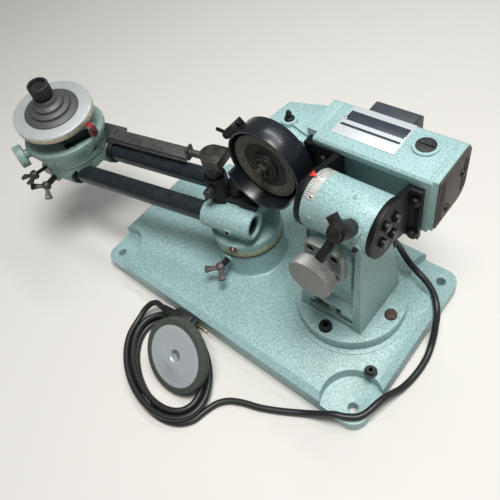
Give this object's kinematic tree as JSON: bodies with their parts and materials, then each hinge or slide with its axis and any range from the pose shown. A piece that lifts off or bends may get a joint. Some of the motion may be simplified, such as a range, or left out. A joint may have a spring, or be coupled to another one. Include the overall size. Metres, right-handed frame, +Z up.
{
  "type": "circular saw blade sharpener",
  "caption": "Bench sharpener for circular saw blades: cast base, tilting motor head with guarded grinding wheel, railed arm with swivel blade holder, mains cord and spare wheel.",
  "frame": {"origin": "middle of the base plate's underside", "axes": "+X along the base from the arm's side towards the motor column, +Y away from the operator, +Z up"},
  "size_m": [0.5518, 0.3537, 0.2428],
  "materials": {
    "green_paint": "hammered pale green paint",
    "black_paint": "gloss black paint",
    "black_steel": "blackened steel",
    "steel": "bare steel",
    "dull_steel": "dull grey steel",
    "aluminium": "turned aluminium",
    "black_plastic": "black plastic",
    "ivory_plastic": "ivory plastic",
    "red_paint": "red paint",
    "abrasive": "bonded abrasive",
    "rubber": "black rubber",
    "brass": "nickelled brass",
    "copper": "windings and laminations"
  },
  "bodies": {
    "base": {"base_casting": "green_paint", "arm_pedestal": "green_paint", "swivel_scale": "steel", "pivot_bolt": "black_steel", "turntable_disc": "green_paint", "turntable_bolts": "black_steel", "column_foot": "black_paint", "hinge_spacer": "ivory_plastic", "return_spring": "steel", "cord_run": "rubber", "cord_coil": "rubber", "plug_body": "black_plastic", "plug_pins": "brass", "spare_wheel": "aluminium", "spare_rim": "abrasive"},
    "column": {"column_casting": "green_paint", "hinge_pin": "steel", "feed_flange": "green_paint", "flange_screws": "black_steel", "cord_gland": "black_plastic"},
    "feed": {"feed_knob": "aluminium", "feed_screw": "steel"},
    "lever": {"clamp_lever": "black_steel"},
    "head": {"pivot_shaft": "steel", "left_bracket": "black_paint", "right_bracket": "black_paint", "bracket_bolts": "black_steel", "tilt_pointer": "red_paint", "motor_housing": "green_paint", "end_cover": "green_paint", "gear_housing": "green_paint", "guard_stud": "black_steel", "brush_caps": "black_plastic", "stator": "copper", "bearings": "steel", "switch_box": "black_plastic", "wheel_guard": "black_paint", "guard_bracket": "black_steel"},
    "rocker": {"switch_rocker": "red_paint"},
    "rotor": {"armature": "copper"},
    "spindle_set": {"spindle": "steel", "grinding_wheel": "abrasive", "wheel_nut": "black_steel"},
    "arm": {"arm_head": "green_paint", "arm_rails": "black_steel", "stop_plate": "black_steel", "arm_pointer": "red_paint"},
    "arm_lock": {"pedestal_wing": "black_steel"},
    "post_lock": {"post_screw": "black_steel"},
    "post": {"rest_post": "dull_steel"},
    "cap": {"cap_screw": "black_steel"},
    "carriage": {"carriage_casting": "green_paint", "rail_wipers": "black_plastic", "guide_bar": "dull_steel"},
    "rail_lock": {"rail_wing": "black_steel"},
    "table_lock": {"table_wing": "black_steel"},
    "table": {"swivel_table": "green_paint"},
    "yoke": {"tilt_yoke": "green_paint"},
    "index": {"index_disc": "aluminium"},
    "clamp": {"clamp_knob": "black_plastic"}
  },
  "joints": [
    {"name": "column_rock", "type": "hinge", "parent": "base", "child": "column", "pos_m": [0.1235, -0.02, 0.072], "axis": [1, 0, 0], "range_deg": [0, 2.5], "stiffness_Nm_per_rad": 4, "springref_deg": -5.73},
    {"name": "feed_turn", "type": "hinge", "parent": "column", "child": "feed", "pos_m": [0.1223, -0.0395, 0.156], "axis": [0, 1, 0], "range_deg": [0, 680]},
    {"name": "lever_turn", "type": "hinge", "parent": "column", "child": "lever", "pos_m": [0.1505, -0.02687, 0.21978], "axis": [0, -0.829, 0.5592], "range_deg": [-40, 40]},
    {"name": "head_tilt", "type": "hinge", "parent": "column", "child": "head", "pos_m": [0.1235, -0.002, 0.203], "axis": [1, 0, 0], "range_deg": [-8, 35]},
    {"name": "rocker_tip", "type": "hinge", "parent": "head", "child": "rocker", "pos_m": [0.1095, 0.1205, 0.199], "axis": [1, 0, 0], "range_deg": [-8, 8]},
    {"name": "spindle_spin", "type": "hinge", "parent": "head", "child": "spindle_set", "pos_m": [0.026, 0.0155, 0.1965], "axis": [0, 1, 0], "continuous": true},
    {"name": "rotor_spin", "type": "hinge", "parent": "head", "child": "rotor", "pos_m": [0.1235, 0.068, 0.1965], "axis": [1, 0, 0], "continuous": true},
    {"name": "arm_swivel", "type": "hinge", "parent": "base", "child": "arm", "pos_m": [-0.022, 0.005, 0.084], "axis": [0, 0, 1], "range_deg": [-20, 6]},
    {"name": "arm_lock_turn", "type": "hinge", "parent": "base", "child": "arm_lock", "pos_m": [-0.022, -0.045, 0.06], "axis": [0, -1, 0], "range_deg": [0, 180]},
    {"name": "post_lock_turn", "type": "hinge", "parent": "arm", "child": "post_lock", "pos_m": [-0.03356, -0.02565, 0.157], "axis": [0.184, -0.9829, 0], "range_deg": [0, 180]},
    {"name": "post_slide", "type": "slide", "parent": "arm", "child": "post", "axis": [0, 0, 1], "range_m": [-0.0015, 0.01]},
    {"name": "cap_screw_turn", "type": "hinge", "parent": "post", "child": "cap", "pos_m": [-0.06003, -0.00924, 0.192], "axis": [-0.9829, -0.184, 0], "range_deg": [-180, 180]},
    {"name": "carriage_slide", "type": "slide", "parent": "arm", "child": "carriage", "axis": [-0.9829, -0.184, 0], "range_m": [-0.14, 0.004]},
    {"name": "rail_lock_turn", "type": "hinge", "parent": "carriage", "child": "rail_lock", "pos_m": [-0.27242, -0.10291, 0.118], "axis": [0.184, -0.9829, 0], "range_deg": [0, 40]},
    {"name": "table_lock_turn", "type": "hinge", "parent": "carriage", "child": "table_lock", "pos_m": [-0.28358, -0.10394, 0.134], "axis": [-0.1288, -0.9917, 0], "range_deg": [0, 60]},
    {"name": "table_swivel", "type": "hinge", "parent": "carriage", "child": "table", "pos_m": [-0.2756, -0.04246, 0.138], "axis": [0, 0, 1], "range_deg": [-40, 40]},
    {"name": "yoke_tilt", "type": "hinge", "parent": "table", "child": "yoke", "pos_m": [-0.2756, -0.04246, 0.158], "axis": [-0.3322, -0.9432, 0], "range_deg": [-17, 33]},
    {"name": "index_turn", "type": "hinge", "parent": "yoke", "child": "index", "pos_m": [-0.27061, -0.04422, 0.19563], "axis": [0.1313, -0.0462, 0.9903], "continuous": true},
    {"name": "clamp_turn", "type": "hinge", "parent": "index", "child": "clamp", "pos_m": [-0.26641, -0.04569, 0.22732], "axis": [0.1313, -0.0462, 0.9903], "continuous": true}
  ],
  "couplings": [
    {"joint": "feed_turn", "follows": "column_rock", "ratio": 263.89},
    {"joint": "rotor_spin", "follows": "spindle_spin", "ratio": 2.3333}
  ]
}
